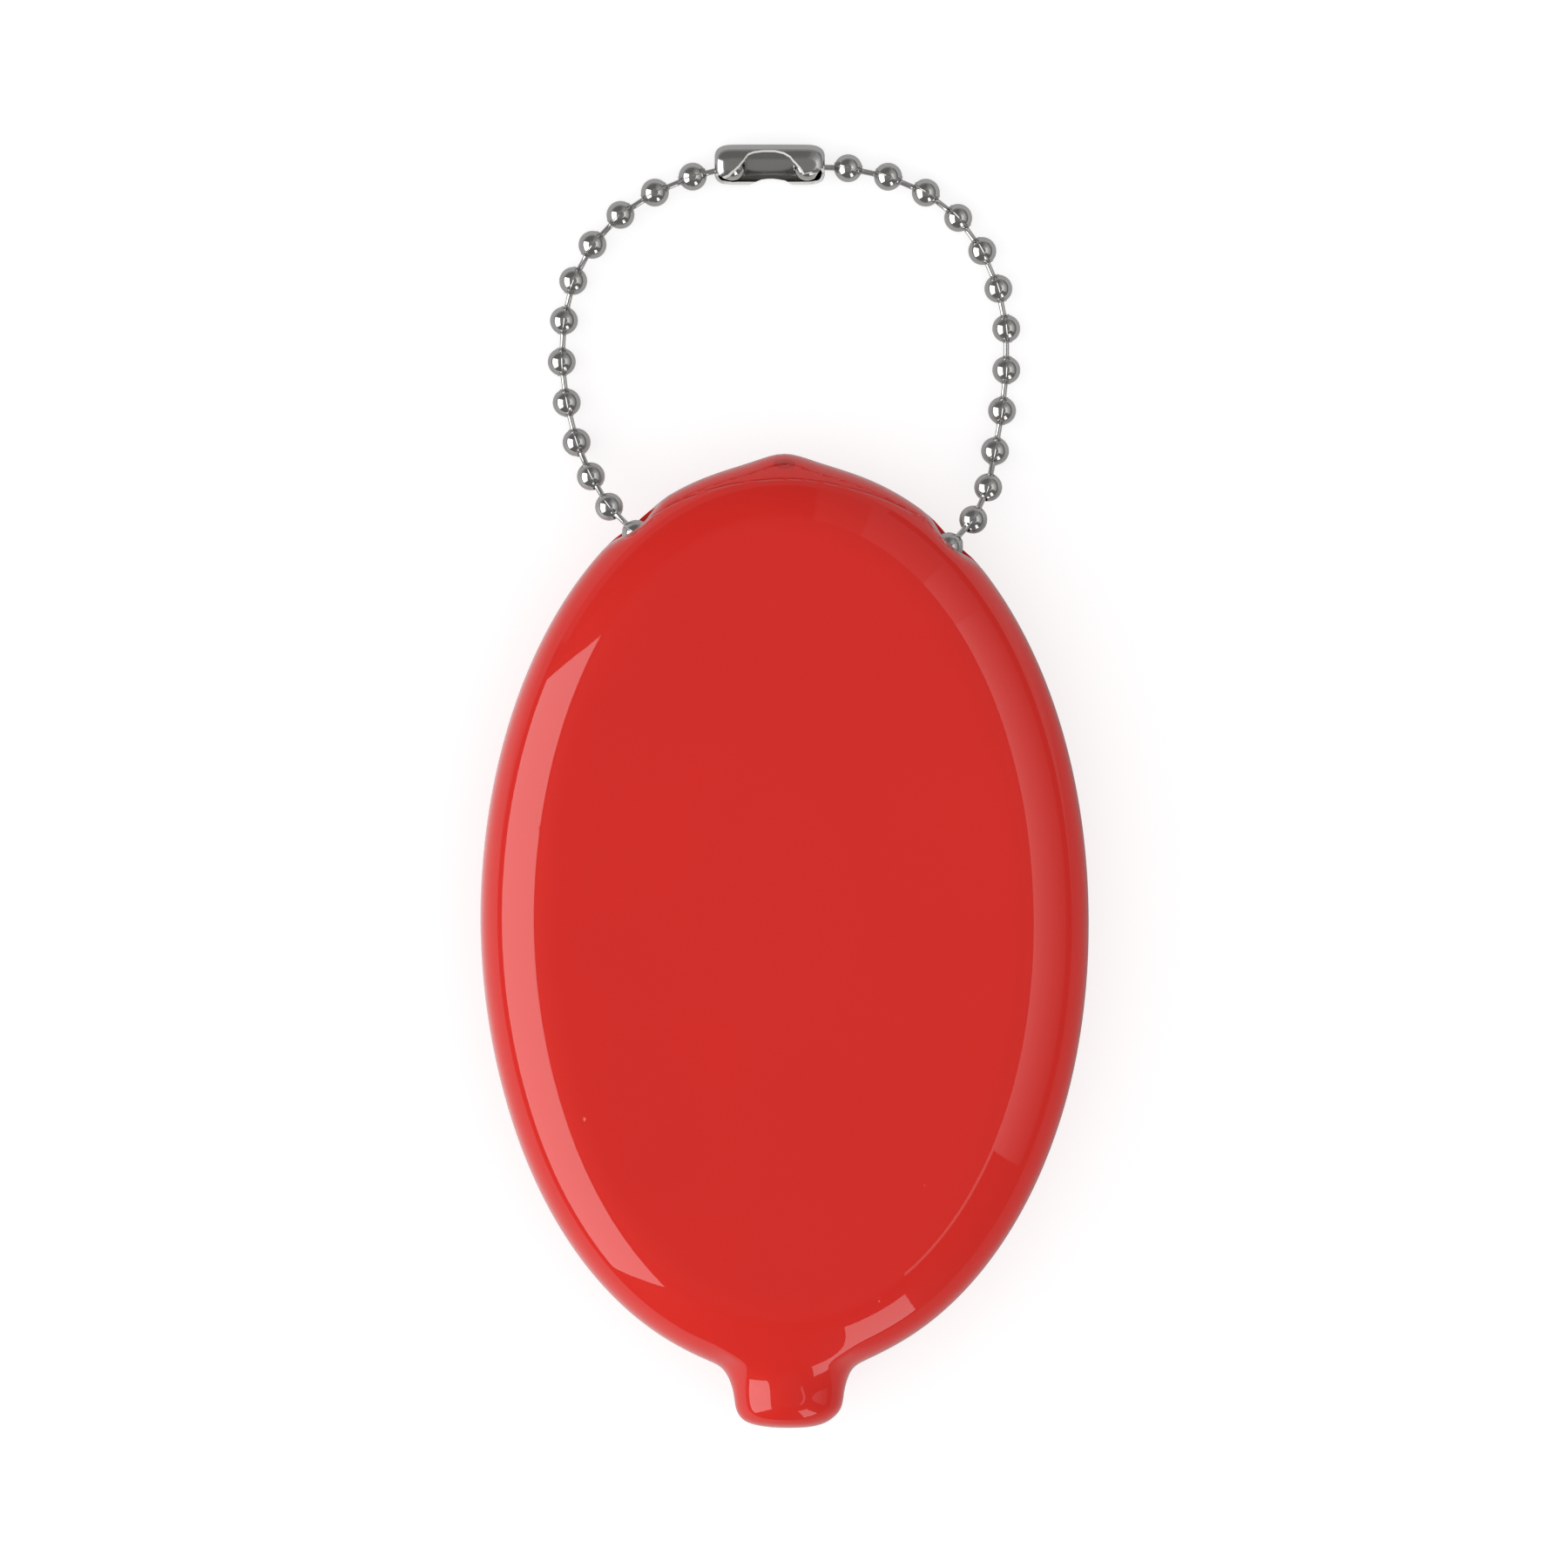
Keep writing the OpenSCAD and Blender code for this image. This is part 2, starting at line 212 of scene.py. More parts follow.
def rim_angle(point):
    """Place round the oval, in degrees from +X, of a point of the rim."""
    return math.degrees(math.atan2(point.y / HALF_L, point.x / HALF_W))


def on_cut(point, first, last):
    """Whether a point lies on the cuts' level, between two places round the oval."""
    return abs(point.z - MID_Z * MM) < 0.05 * MM and first < rim_angle(point) < last


for first, last in CUTS:
    bpy.ops.object.mode_set(mode="EDIT")
    pick(moulding, "EDGE", lambda m, edge: all(on_cut(v.co, first, last) for v in edge.verts))
    bpy.ops.mesh.edge_split(type="EDGE")
    for side, sink in ((1, FRONT_SINK), (-1, BACK_SINK)):
        bpy.ops.mesh.select_mode(type="VERT")
        bpy.ops.mesh.select_all(action="DESELECT")
        cage = bmesh.from_edit_mesh(moulding.data)
        edge_points = [v for v in cage.verts if v.is_boundary and on_cut(v.co, first, last)
                       and all(side * (f.calc_center_median().z - MID_Z * MM) > 0 for f in v.link_faces)]
        seat = min(edge_points, key=lambda v: abs(rim_angle(v.co) - (first + last) / 2))
        seat.select = True
        cage.select_flush_mode()
        inward = -sink * seat.normal
        inward.z = 0
        bmesh.update_edit_mesh(moulding.data)
        for move, reach in ((Vector((0, 0, side * CUT_SPREAD)), SPREAD_REACH), (inward, SINK_REACH)):
            bpy.ops.transform.translate(
                value=move * MM, use_proportional_edit=True, use_proportional_connected=True,
                proportional_edit_falloff="SMOOTH", proportional_size=reach * MM)
    bpy.ops.object.mode_set(mode="OBJECT")

# Lips: the two halves of the back's middle, parted by the slit. They are of one piece with
# the pouch, so each grows from the opening's edge, by these shares of its way from the slit.
LIP_SHARES = (0.86, 0.72, 0.58, 0.44, 0.3, 0.16, 0.012)
WALL = 1.8


def only(ob):
    """Selects one object alone and makes it the active one."""
    bpy.ops.object.select_all(action="DESELECT")
    ob.select_set(True)
    bpy.context.view_layer.objects.active = ob


lips = {}
for side, name in ((-1, "left_lip"), (1, "right_lip")):
    only(moulding)
    bpy.ops.object.mode_set(mode="EDIT")
    pick(moulding, "EDGE", lambda m, edge: edge.is_boundary and abs(m.z) < 0.01 and side * m.x > 0)
    bpy.ops.mesh.duplicate()
    bpy.ops.mesh.separate(type="SELECTED")
    bpy.ops.object.mode_set(mode="OBJECT")
    lip = [ob for ob in bpy.context.selected_objects if ob != moulding][0]
    lip.name = lip.data.name = "pouch_" + name
    only(lip)
    bpy.ops.object.mode_set(mode="EDIT")
    bpy.ops.mesh.select_all(action="SELECT")
    last_share = 1
    for share in LIP_SHARES:
        bpy.ops.mesh.extrude_region_move()
        bpy.ops.transform.resize(value=(share / last_share, 1, 1), center_override=(0, 0, 0))
        last_share = share
    bpy.ops.mesh.select_all(action="SELECT")
    bpy.ops.mesh.remove_doubles(threshold=1e-6)
    bpy.ops.mesh.normals_make_consistent(inside=False)
    bpy.ops.object.mode_set(mode="OBJECT")
    if sum(face.normal.z for face in lip.data.polygons) > 0:
        lip.data.flip_normals()
    lips[name] = lip

vinyl_pieces = (moulding, *lips.values())
for piece in vinyl_pieces:
    apply_modifier(piece, "SOLIDIFY", thickness=WALL * MM, offset=-1, use_even_offset=True)
    only(piece)
    bpy.ops.object.shade_smooth_by_angle(angle=math.radians(40))

# Vinyl: red plasticised PVC, set from a liquid, so it is as smooth as glass outside. The eye
# sees a sharp clear gloss over an even, slightly cloudy red, with the small faults of dipping and painted
# shade along a crease.
CREASE_HALF_W, CREASE_HALF_L = 28.3, 37.4
SCAR_Y, SCAR_HALF_W, SCAR_HALF_L = 38.75, 0.97, 0.44


def linear(code):
    """An sRGB hex colour as linear red, green, blue and alpha."""
    parts = [int(code[i:i + 2], 16) / 255 for i in (1, 3, 5)]
    return [p / 12.92 if p <= 0.04045 else ((p + 0.055) / 1.055) ** 2.4 for p in parts] + [1]


def add(tree, kind, settings=None, **links):
    """Adds one node, sets its properties and values, and links its inputs by name or number."""
    made = tree.nodes.new(kind)
    for key, value in (settings or {}).items():
        if isinstance(key, int) or key in made.inputs:
            made.inputs[key].default_value = value
        else:
            setattr(made, key, value)
    for key, source in links.items():
        tree.links.new(source, made.inputs[int(key[1:]) if key[1:].isdigit() else key.replace("_", " ")])
    return made


def new_material(name):
    """An empty node material, its tree and its output node."""
    made = bpy.data.materials.new(name)
    made.use_nodes = True
    made.node_tree.nodes.clear()
    return made, made.node_tree, made.node_tree.nodes.new("ShaderNodeOutputMaterial")


vinyl, tree, out = new_material("dipped_red_vinyl")
place = add(tree, "ShaderNodeTexCoord")
parts = add(tree, "ShaderNodeSeparateXYZ", None, Vector=place.outputs["Object"])
front = add(tree, "ShaderNodeMapRange", {1: 6.6 * MM, 2: 7.4 * MM}, Value=parts.outputs["Z"])
# clouds of 14 mm, where the vinyl is a little thicker
cloud = add(tree, "ShaderNodeTexNoise", {"Scale": 1 / 0.014, "Detail": 2.0}, Vector=place.outputs["Object"])
tint = add(tree, "ShaderNodeMix", {"data_type": "RGBA", 6: linear("#E62216"), 7: linear("#E01E12")},
           Factor=cloud.outputs["Fac"])
# a fine broken crease along an oval round the upper end, which wanders over 6 mm and breaks over 1.2 mm.
# Its groove is a bump, and its darker red is painted shade.
wave = add(tree, "ShaderNodeTexNoise", {"Scale": 1 / 0.006, "Detail": 3.0}, Vector=place.outputs["Object"])
oval = add(tree, "ShaderNodeVectorMath",
           {"operation": "MULTIPLY", 1: (1 / (CREASE_HALF_W * MM), 1 / (CREASE_HALF_L * MM), 0)},
           _0=place.outputs["Object"])
oval = add(tree, "ShaderNodeVectorMath", {"operation": "LENGTH"}, _0=oval.outputs[0])
drift = add(tree, "ShaderNodeMath", {"operation": "MULTIPLY_ADD", 1: 0.008, 2: -1.004},
            _0=wave.outputs["Fac"])
drift = add(tree, "ShaderNodeMath", {"operation": "ADD"}, _0=drift.outputs[0], _1=oval.outputs["Value"])
drift = add(tree, "ShaderNodeMath", {"operation": "ABSOLUTE"}, _0=drift.outputs[0])
crease_groove_and_shade = add(tree, "ShaderNodeMapRange", {1: 0.003, 2: 0.0, 3: 0.0, 4: 0.75}, Value=drift.outputs[0])
upper = add(tree, "ShaderNodeMapRange", {1: 33.5 * MM, 2: 34.5 * MM}, Value=parts.outputs["Y"])
breaks = add(tree, "ShaderNodeTexNoise", {"Scale": 1 / 0.0012, "Detail": 2.0},
             Vector=place.outputs["Object"])
breaks = add(tree, "ShaderNodeMapRange", {1: 0.36, 2: 0.5, 3: 0.15}, Value=breaks.outputs["Fac"])
for gate in (upper, breaks, front):
    crease_groove_and_shade = add(tree, "ShaderNodeMath", {"operation": "MULTIPLY"}, _0=crease_groove_and_shade.outputs[0], _1=gate.outputs[0])
# the round scar that the drip left on the tip
scar = add(tree, "ShaderNodeVectorMath", {"operation": "SUBTRACT", 1: (0, SCAR_Y * MM, 0)},
           _0=place.outputs["Object"])
scar = add(tree, "ShaderNodeVectorMath",
           {"operation": "MULTIPLY", 1: (1 / (SCAR_HALF_W * MM), 1 / (SCAR_HALF_L * MM), 0)},
           _0=scar.outputs[0])
scar = add(tree, "ShaderNodeVectorMath", {"operation": "LENGTH"}, _0=scar.outputs[0])
scar = add(tree, "ShaderNodeMapRange", {1: 1.05, 2: 0.9, 4: 0.6}, Value=scar.outputs["Value"])
scar = add(tree, "ShaderNodeMath", {"operation": "MULTIPLY"}, _0=scar.outputs[0], _1=front.outputs[0])
# the crease's darker red is painted shade in its groove, and the scar is painted darker
crease_shade_and_scar = add(tree, "ShaderNodeMath", {"operation": "MAXIMUM"}, _0=crease_groove_and_shade.outputs[0], _1=scar.outputs[0])
crease_shade_and_scar = add(tree, "ShaderNodeMath", {"operation": "MULTIPLY", 1: 0.6}, _0=crease_shade_and_scar.outputs[0])
tint = add(tree, "ShaderNodeMix", {"data_type": "RGBA", 7: linear("#7E0D0C")},
           Factor=crease_shade_and_scar.outputs[0], _6=tint.outputs[2])
# pimples half a millimetre wide, from dust under the skin, in one of every four cells of 4 mm
cells = add(tree, "ShaderNodeTexVoronoi", {"Scale": 1 / 0.004}, Vector=place.outputs["Object"])
pimple = add(tree, "ShaderNodeMapRange", {1: 0.07, 2: 0.0}, Value=cells.outputs["Distance"])
lot = add(tree, "ShaderNodeSeparateColor", None, Color=cells.outputs["Color"])
lot = add(tree, "ShaderNodeMath", {"operation": "GREATER_THAN", 1: 0.75}, _0=lot.outputs[0])
pimple = add(tree, "ShaderNodeMath", {"operation": "MULTIPLY"}, _0=pimple.outputs[0], _1=lot.outputs[0])
relief = add(tree, "ShaderNodeMath", {"operation": "SUBTRACT"}, _0=pimple.outputs[0], _1=crease_groove_and_shade.outputs[0])
# a ripple of 4 mm and a hundredth of a millimetre, which only the edges of reflections show
grain = add(tree, "ShaderNodeTexNoise", {"Scale": 1 / 0.004, "Detail": 1.0}, Vector=place.outputs["Object"])
ripple = add(tree, "ShaderNodeBump", {"Strength": 0.35, "Distance": 0.00001}, Height=grain.outputs["Fac"])
bump = add(tree, "ShaderNodeBump", {"Strength": 0.7, "Distance": 0.0001},
           Height=relief.outputs[0], Normal=ripple.outputs["Normal"])
skin = add(tree, "ShaderNodeBsdfPrincipled",
           {"Roughness": 0.4, "IOR": 1.5, "Coat Weight": 1.0, "Coat Roughness": 0.02, "Coat IOR": 1.5,
            "Specular IOR Level": 0.08},
           Base_Color=tint.outputs[2], Coat_Normal=bump.outputs["Normal"])
tree.links.new(skin.outputs[0], out.inputs[0])

for piece in vinyl_pieces:
    piece.data.materials.append(vinyl)
    # the photographed chain shows no red, so the pouch isn't mirrored in it
    piece.visible_glossy = False
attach(moulding, "pouch")
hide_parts("pouch_shell")
# each lip bends from its outer edge, which stays on the pouch, and stays shut at its ends
for name, lip in lips.items():
    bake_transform(lip, "pouch", name, start=(0, 0, 0), end=(0.01, 0, 0))
    weight = lip.data.attributes["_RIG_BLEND"]
    for v in lip.data.vertices:
        along = max(0, 1 - (v.co.y / (OPENING_L * MM)) ** 2)
        across = abs(v.co.x) / (OPENING_W * MM * math.sqrt(max(1e-9, along)))
        weight.data[v.index].value = max(0, 1 - across) * along
    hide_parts(name)

# Beads: each is a strip of steel rolled into a ball round the heads of two link wires, then
# nickel-plated. It has a hole with a rolled edge at each pole and a fine seam between them.
BEAD_R = 1.2
# where the ball ends and its rolled edge begins, as a share of the radius
POLE = 0.935
# the rolled edge goes round and into the hole: each ring's width and height against the last
ROLLED_EDGE = ((0.95, 1.04), (0.88, 1.025), (0.84, 0.99), (0.95, 0.93), (1.0, 0.6))
bpy.ops.object.select_all(action="DESELECT")
bpy.ops.mesh.primitive_uv_sphere_add(segments=32, ring_count=18, radius=BEAD_R * MM)
bead = bpy.context.object
bpy.ops.object.mode_set(mode="EDIT")
pick(bead, "FACE", lambda m, face: abs(m.z) > POLE * BEAD_R)
bpy.ops.mesh.delete(type="FACE")
pick(bead, "EDGE", lambda m, edge: edge.is_boundary)
for narrower, lower in ROLLED_EDGE:
    bpy.ops.mesh.extrude_region_move()
    bpy.ops.transform.resize(value=(narrower, narrower, lower), center_override=(0, 0, 0))
bpy.ops.mesh.edge_face_add()
bpy.ops.mesh.select_all(action="SELECT")
bpy.ops.mesh.normals_make_consistent(inside=False)
bpy.ops.object.mode_set(mode="OBJECT")
bpy.ops.object.shade_smooth_by_angle(angle=math.radians(50))

# Nickel plate: bright plating, tumbled, so the eye sees a clean mirror with faint dents of
# 1.5 mm and haze of 0.6 mm. The seam is a fine groove half way round.
nickel, tree, out = new_material("polished_nickel_plate")
place = add(tree, "ShaderNodeTexCoord")
wear = add(tree, "ShaderNodeTexNoise", {"Scale": 1 / 0.0006, "Detail": 3.0}, Vector=place.outputs["Object"])
rough = add(tree, "ShaderNodeMapRange", {3: 0.06, 4: 0.16}, Value=wear.outputs["Fac"])
round_it = add(tree, "ShaderNodeSeparateXYZ", None, Vector=place.outputs["UV"])
seam = add(tree, "ShaderNodeMath", {"operation": "SUBTRACT", 1: 0.5}, _0=round_it.outputs["X"])
seam = add(tree, "ShaderNodeMath", {"operation": "ABSOLUTE"}, _0=seam.outputs[0])
seam = add(tree, "ShaderNodeMapRange", {1: 0.0, 2: 0.006}, Value=seam.outputs[0])
dents = add(tree, "ShaderNodeTexNoise", {"Scale": 1 / 0.0015, "Detail": 0.0}, Vector=place.outputs["Object"])
dents = add(tree, "ShaderNodeBump", {"Strength": 0.5, "Distance": 0.00004}, Height=dents.outputs["Fac"])
groove = add(tree, "ShaderNodeBump", {"Strength": 0.8, "Distance": 0.00003},
             Height=seam.outputs[0], Normal=dents.outputs["Normal"])
metal = add(tree, "ShaderNodeBsdfPrincipled", {"Metallic": 1.0, "Base Color": linear("#BCBBB9")},
            Roughness=rough.outputs[0], Normal=groove.outputs["Normal"])
tree.links.new(metal.outputs[0], out.inputs[0])

# Link wires: short dumbbells of drawn steel wire. The heads at their ends are too wide for
# the beads' holes. Each ring has its place along the wire and its share of the radius.
WIRE_R = 0.25
WIRE_RINGS = (
    (-0.95, 0.9), (-0.92, 1.25), (-0.78, 1.3), (-0.62, 1.0), (-0.2, 0.98),
    (0.2, 0.98), (0.62, 1.0), (0.78, 1.3), (0.92, 1.25), (0.95, 0.9))
bpy.ops.object.select_all(action="DESELECT")
bpy.ops.mesh.primitive_circle_add(vertices=20, radius=MM)
wire = bpy.context.object
bpy.ops.object.mode_set(mode="EDIT")
last_z, last_r = 0, 1
for z, share in WIRE_RINGS:
    if last_z:
        bpy.ops.mesh.extrude_region_move()
    bpy.ops.transform.translate(value=(0, 0, (z - last_z) * MM))
    bpy.ops.transform.resize(value=(share * WIRE_R / last_r, share * WIRE_R / last_r, 1),
                             center_override=(0, 0, 0))
    last_z, last_r = z, share * WIRE_R
for end in (-1, 1):
    pick(wire, "EDGE", lambda m, edge: edge.is_boundary and end * m.z > 0)
    bpy.ops.mesh.edge_face_add()
bpy.ops.mesh.select_all(action="SELECT")
bpy.ops.mesh.normals_make_consistent(inside=False)
bpy.ops.object.mode_set(mode="OBJECT")
bpy.ops.object.shade_smooth_by_angle(angle=math.radians(50))

# Drawn wire: plated steel wire with fine die marks, about 0.3 mm across. The eye sees it
# brighter than the beads and hazier, without sharp reflections.
bright, tree, out = new_material("bright_drawn_wire")
place = add(tree, "ShaderNodeTexCoord")
wear = add(tree, "ShaderNodeTexNoise", {"Scale": 1 / 0.0003, "Detail": 2.0}, Vector=place.outputs["Object"])
rough = add(tree, "ShaderNodeMapRange", {3: 0.12, 4: 0.25}, Value=wear.outputs["Fac"])
metal = add(tree, "ShaderNodeBsdfPrincipled", {"Metallic": 1.0, "Base Color": linear("#C9C8C6")},
            Roughness=rough.outputs[0])
tree.links.new(metal.outputs[0], out.inputs[0])

# Ball chain, No. 3: the beads and wires in their order, from the clasp down the left side,
# through the pouch and up the right side. The beads in the cuts are pressed in a little.
HIDDEN_BEADS = (
    (-9.73, 32.07, 6.0), (-6.38, 31.14, 5.63), (-2.94, 30.51, 5.42), (0.55, 30.19, 5.34),
    (4.04, 30.19, 5.42), (7.52, 30.5, 5.63), (10.95, 31.12, 6.0))
LEFT_BEADS, RIGHT_BEADS = 13, 14
LEFT_PRESS, RIGHT_PRESS = (0.35, -0.45, 0), (-0.3, -0.25, 0)


def middle_of(name):
    """Middle of a CAD node."""
    low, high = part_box(name)
    return (low + high) / 2


def lay(model, name, start, end, material):
    """A copy of a chain piece, its own Z laid along the line from start to end."""
    piece = model.copy()
    piece.data = model.data.copy()
    piece.name = piece.data.name = name
    bpy.context.scene.collection.objects.link(piece)
    turn = (end - start).to_track_quat("Z", "X").to_matrix().to_4x4()
    piece.data.transform(Matrix.Translation((start + end) / 2) @ turn)
    piece.data.materials.append(material)
    return piece


def keep(piece, node):
    """Puts a finished piece in the place of its CAD node."""
    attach(piece, frame["nodes"][node].parent.name[5:])
    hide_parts(node)


left_nodes = [f"left_bead_{i:02d}" for i in reversed(range(LEFT_BEADS))]
right_nodes = [f"right_bead_{i:02d}" for i in range(RIGHT_BEADS)]
bead_nodes = left_nodes + ["hidden_beads"] * len(HIDDEN_BEADS) + right_nodes
wire_nodes = [f"left_link_wire_{i:02d}" for i in range(LEFT_BEADS - 1, 0, -1)]
wire_nodes += ["hidden_link_wires"] * (len(HIDDEN_BEADS) + 1)
wire_nodes += [f"right_link_wire_{i:02d}" for i in range(1, RIGHT_BEADS)]
left_path = [middle_of(node) for node in left_nodes]
right_path = [middle_of(node) for node in right_nodes]
left_path[-1] += Vector(LEFT_PRESS) * MM
right_path[0] += Vector(RIGHT_PRESS) * MM
path = left_path + [Vector(point) * MM for point in HIDDEN_BEADS] + right_path
chain = {}
for i, node in enumerate(bead_nodes):
    before, after = path[max(i - 1, 0)], path[min(i + 1, len(path) - 1)]
    along = (after - before).normalized() * MM
    piece = lay(bead, "nickel_" + node, path[i] - along, path[i] + along, nickel)
    chain.setdefault(node, []).append(piece)
for i, node in enumerate(wire_nodes):
    piece = lay(wire, "nickel_" + node, path[i], path[i + 1], bright)
    chain.setdefault(node, []).append(piece)
for node, pieces in chain.items():
    only(pieces[0])
    if len(pieces) > 1:
        for piece in pieces:
            piece.select_set(True)
        bpy.ops.object.join()
    keep(pieces[0], node)
bpy.data.objects.remove(bead)
bpy.data.objects.remove(wire)

# Clasp: one sheet folded over along its far edge, with a round pocket pressed into each end
# for the last bead. The front cheek is cut away in a bell shape between the pockets, and the
# back cheek has a low arch, so that the chain can be slid in.
SHEET = 0.25
CLASP_POINTS = 48
# the rounding of an end: how far in each ring lies, and its share of the full section
END_RINGS = ((0, 0.5), (0.06, 0.64), (0.2, 0.77), (0.42, 0.87), (0.75, 0.95), (1.2, 0.99), (1.7, 1.0))
clasp_low, clasp_high = (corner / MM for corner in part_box("chain_clasp"))
size, centre = clasp_high - clasp_low, (clasp_low + clasp_high) / 2
bpy.ops.object.select_all(action="DESELECT")
bpy.ops.mesh.primitive_circle_add(vertices=CLASP_POINTS, radius=MM, rotation=(0, math.radians(90), 0))
clasp = bpy.context.object
clasp.name = clasp.data.name = "folded_clasp"
bpy.ops.object.transform_apply(location=False, rotation=True, scale=False)
bpy.ops.object.mode_set(mode="EDIT")
bpy.ops.transform.translate(value=centre * MM)
bpy.ops.transform.resize(value=(1, size.y / 2, size.z / 2), center_override=centre * MM)
last_x, last_share = centre.x, 1
for inset, share in END_RINGS + tuple((size.x - inset, share) for inset, share in reversed(END_RINGS)):
    if inset:
        bpy.ops.mesh.extrude_region_move()
    bpy.ops.transform.translate(value=((clasp_low.x + inset - last_x) * MM, 0, 0))
    bpy.ops.transform.resize(value=(1, share / last_share, share / last_share),
                             center_override=centre * MM)
    last_x, last_share = clasp_low.x + inset, share
for end in (-1, 1):
    pick(clasp, "EDGE", lambda m, edge: edge.is_boundary and end * (m.x - centre.x) > 0)
    bpy.ops.mesh.fill_grid(span=CLASP_POINTS // 4)
bpy.ops.mesh.select_all(action="SELECT")
bpy.ops.mesh.normals_make_consistent(inside=False)
bpy.ops.object.mode_set(mode="OBJECT")
apply_modifier(clasp, "SUBSURF", levels=1, render_levels=1)
apply_modifier(clasp, "SOLIDIFY", thickness=SHEET * MM, offset=-1, use_even_offset=True)

# Plated sheet: pressed after rolling, so its mirror is a little hazier than the beads', with
# wear marks of 0.8 mm
plate, tree, out = new_material("nickel_plated_sheet")
place = add(tree, "ShaderNodeTexCoord")
wear = add(tree, "ShaderNodeTexNoise", {"Scale": 1 / 0.0008, "Detail": 4.0}, Vector=place.outputs["Object"])
rough = add(tree, "ShaderNodeMapRange", {3: 0.1, 4: 0.24}, Value=wear.outputs["Fac"])
dents = add(tree, "ShaderNodeBump", {"Strength": 0.25, "Distance": 0.00003}, Height=wear.outputs["Fac"])
metal = add(tree, "ShaderNodeBsdfPrincipled", {"Metallic": 1.0, "Base Color": linear("#BDBCBA")},
            Roughness=rough.outputs[0], Normal=dents.outputs["Normal"])
tree.links.new(metal.outputs[0], out.inputs[0])
clasp.data.materials.append(plate)

# Cut edge: pale and nearly matt, as painted highlight, so it draws a thin light line round
# each cut, in place of the light that a rounded edge catches from the soft box
edge_highlight_paint, tree, out = new_material("burnished_sheet_edge")
metal = add(tree, "ShaderNodeBsdfPrincipled",
            {"Metallic": 0.15, "Base Color": linear("#F4F3F0"), "Roughness": 0.4})
tree.links.new(metal.outputs[0], out.inputs[0])


def cut_through(outline, low_z, high_z, flare=(1, 1)):
    """Cuts the clasp with a prism of this outline, in millimetres, which flares towards its top."""
    bpy.ops.object.select_all(action="DESELECT")
    bpy.ops.mesh.primitive_circle_add(vertices=len(outline), radius=MM, fill_type="NGON")
    cutter = bpy.context.object
    for vert, (x, y) in zip(cutter.data.vertices, outline):
        vert.co = Vector((x, y, low_z)) * MM
    bpy.ops.object.mode_set(mode="EDIT")
    bpy.ops.mesh.select_all(action="SELECT")
    bpy.ops.mesh.extrude_region_move(TRANSFORM_OT_translate={"value": (0, 0, (high_z - low_z) * MM)})
    bpy.ops.transform.resize(value=(*flare, 1), center_override=(centre.x * MM, MOUTH_Y * MM, 0))
    bpy.ops.mesh.select_all(action="SELECT")
    bpy.ops.mesh.normals_make_consistent(inside=False)
    bpy.ops.object.mode_set(mode="OBJECT")
    # the cut faces take the edge's painted highlight
    cutter.data.materials.append(edge_highlight_paint)
    apply_modifier(clasp, "BOOLEAN", object=cutter, operation="DIFFERENCE", solver="EXACT",
                   material_mode="TRANSFER")
    bpy.data.objects.remove(cutter)


# both cuts run out over the clasp's open side
MOUTH_Y = 62
WINDOW = (
    (-6.4, 63.85), (-5.92, 63.8), (-5.44, 63.4), (-4.79, 63.55), (-4.23, 63.88), (-3.83, 64.19),
    (-3.43, 64.68), (-3.1, 65.32), (-2.63, 65.6), (-1.82, 65.76), (-0.78, 65.76), (-0.05, 65.48),
    (0.43, 65.08), (0.75, 64.6), (1.22, 64.11), (1.64, 63.63), (2.19, 63.75), (2.52, 63.63),
    (3.0, 63.85), (3.2, 64.15), (3.9, 64.2), (3.9, MOUTH_Y), (-6.4, MOUTH_Y))
ARCH = (
    (-3.02, MOUTH_Y), (-3.02, 62.75), (-2.5, 63.0), (-1.98, 63.23), (-1.5, 63.3), (-1.01, 63.31),
    (-0.5, 63.25), (0.03, 63.15), (0.4, 62.95), (0.67, 62.75), (0.67, MOUTH_Y))
# the window's edge leans outwards, so that its width shows from the front: its slope, the
# height at which the window has its outline, and the outline's half width and depth
EDGE_SLOPE, EDGE_Z = 0.8, 2.7
WINDOW_HALF_W, WINDOW_DEPTH = 5.15, 3.76
window_low, window_high = centre.z - 0.35, clasp_high.z + 1
narrowing, widening = EDGE_SLOPE * (EDGE_Z - window_low), EDGE_SLOPE * (window_high - EDGE_Z)
narrow_x, narrow_y = 1 - narrowing / WINDOW_HALF_W, 1 - narrowing / WINDOW_DEPTH
wide_x, wide_y = 1 + widening / WINDOW_HALF_W, 1 + widening / WINDOW_DEPTH
foot = [(centre.x + (x - centre.x) * narrow_x, MOUTH_Y + (y - MOUTH_Y) * narrow_y) for x, y in WINDOW]
cut_through(foot, window_low, window_high, (wide_x / narrow_x, wide_y / narrow_y))
cut_through(ARCH, clasp_low.z - 1, centre.z)
only(clasp)
bpy.ops.object.shade_smooth_by_angle(angle=math.radians(40))
keep(clasp, "chain_clasp")

# Table: white paper. The camera sees it white apart from the object's soft shadow. The metal
# and the vinyl see it dimmer, with a painted glow that is lightest on the left of the pouch.
WHITE = (1, 1, 1, 1)
bpy.ops.object.select_all(action="DESELECT")
bpy.ops.mesh.primitive_plane_add(size=12, location=(0, 0, -0.05 * MM))
table = bpy.context.object
table.name = "studio_table"
paper, tree, out = new_material("white_table_paper")
rays = add(tree, "ShaderNodeLightPath")
place = add(tree, "ShaderNodeTexCoord")
parts = add(tree, "ShaderNodeSeparateXYZ", None, Vector=place.outputs["Object"])
